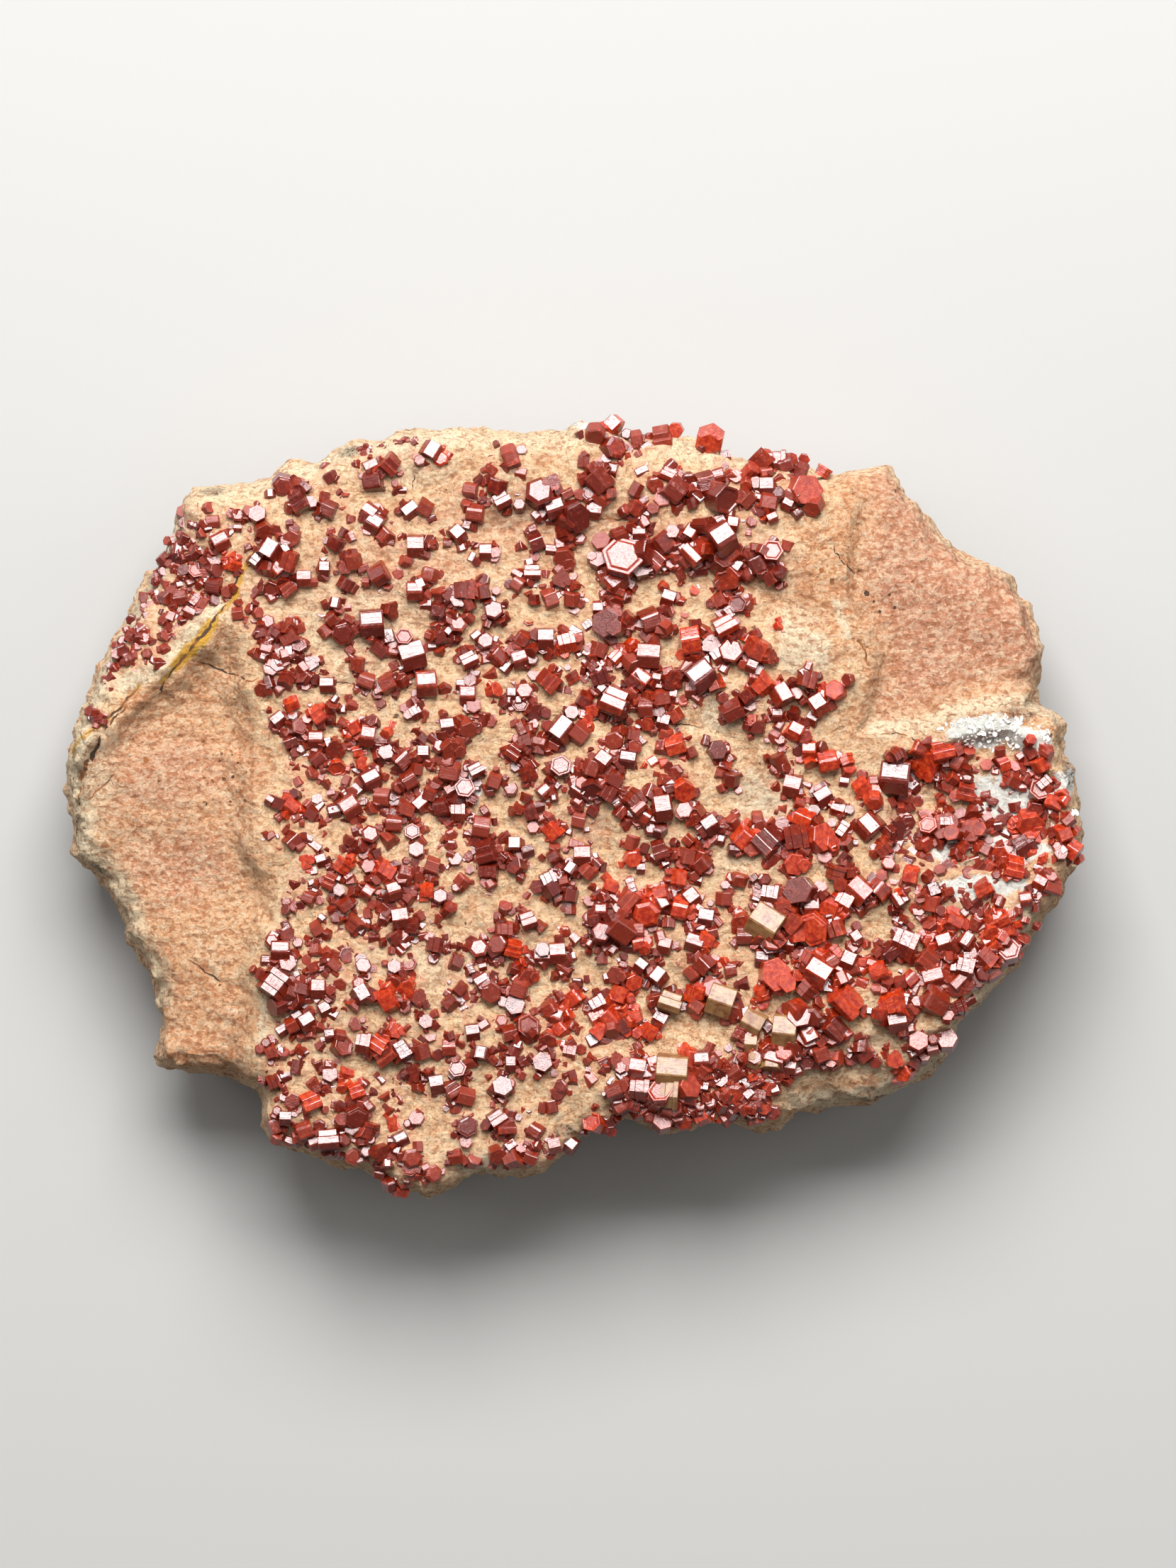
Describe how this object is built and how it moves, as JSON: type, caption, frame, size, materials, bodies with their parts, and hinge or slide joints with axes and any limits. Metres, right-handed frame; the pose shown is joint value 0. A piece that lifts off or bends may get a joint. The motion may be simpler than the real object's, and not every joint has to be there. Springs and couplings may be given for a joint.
{
  "type": "vanadinite on matrix mineral specimen",
  "caption": "Flat-lying slab of broken sandstone with red hexagonal vanadinite crystals scattered over its face.",
  "frame": {"origin": "middle of the flat that the slab rests on", "axes": "+X along the slab, +Y across it, +Z out of the crystal-bearing face"},
  "size_m": [0.15, 0.1151, 0.0297],
  "materials": {
    "sandstone": "matte, grainy",
    "vanadinite": "glossy"
  },
  "bodies": {
    "root": {"sandstone_matrix": "sandstone", "vanadinite_crystal_07": "vanadinite", "vanadinite_crystal_09": "vanadinite", "vanadinite_crystal_10": "vanadinite", "vanadinite_crystal_13": "vanadinite", "vanadinite_crystal_14": "vanadinite", "vanadinite_crystal_16": "vanadinite", "vanadinite_crystal_17": "vanadinite", "vanadinite_crystal_19": "vanadinite", "vanadinite_crystal_20": "vanadinite", "vanadinite_crystal_23": "vanadinite", "vanadinite_crystal_24": "vanadinite", "vanadinite_crystal_26": "vanadinite", "vanadinite_crystal_29": "vanadinite", "vanadinite_crystal_30": "vanadinite", "vanadinite_crystal_32": "vanadinite", "vanadinite_crystal_33": "vanadinite", "vanadinite_crystal_34": "vanadinite", "vanadinite_crystal_35": "vanadinite", "vanadinite_crystal_36": "vanadinite", "vanadinite_crystal_37": "vanadinite", "vanadinite_crystal_38": "vanadinite", "vanadinite_crystal_39": "vanadinite", "vanadinite_crystal_40": "vanadinite", "vanadinite_crystal_41": "vanadinite", "vanadinite_crystal_42": "vanadinite", "vanadinite_crystal_43": "vanadinite", "vanadinite_crystal_44": "vanadinite", "vanadinite_crystal_45": "vanadinite", "vanadinite_crystal_46": "vanadinite", "vanadinite_crystal_47": "vanadinite", "vanadinite_crystal_48": "vanadinite", "vanadinite_crystal_49": "vanadinite", "vanadinite_crystal_50": "vanadinite", "vanadinite_crystal_51": "vanadinite", "vanadinite_crystal_52": "vanadinite", "vanadinite_crystal_53": "vanadinite", "vanadinite_crystal_54": "vanadinite", "vanadinite_crystal_55": "vanadinite", "vanadinite_crystal_56": "vanadinite", "vanadinite_crystal_cluster_01": "vanadinite", "vanadinite_crystal_cluster_02": "vanadinite", "vanadinite_crystal_cluster_03": "vanadinite", "vanadinite_crystal_cluster_04": "vanadinite", "vanadinite_crystal_cluster_05": "vanadinite", "vanadinite_crystal_cluster_06": "vanadinite", "vanadinite_crystal_cluster_08": "vanadinite", "vanadinite_crystal_cluster_11": "vanadinite", "vanadinite_crystal_cluster_12": "vanadinite", "vanadinite_crystal_cluster_15": "vanadinite", "vanadinite_crystal_cluster_18": "vanadinite", "vanadinite_crystal_cluster_21": "vanadinite", "vanadinite_crystal_cluster_22": "vanadinite", "vanadinite_crystal_cluster_25": "vanadinite", "vanadinite_crystal_cluster_27": "vanadinite", "vanadinite_crystal_cluster_28": "vanadinite", "vanadinite_crystal_cluster_31": "vanadinite"}
  },
  "joints": []
}
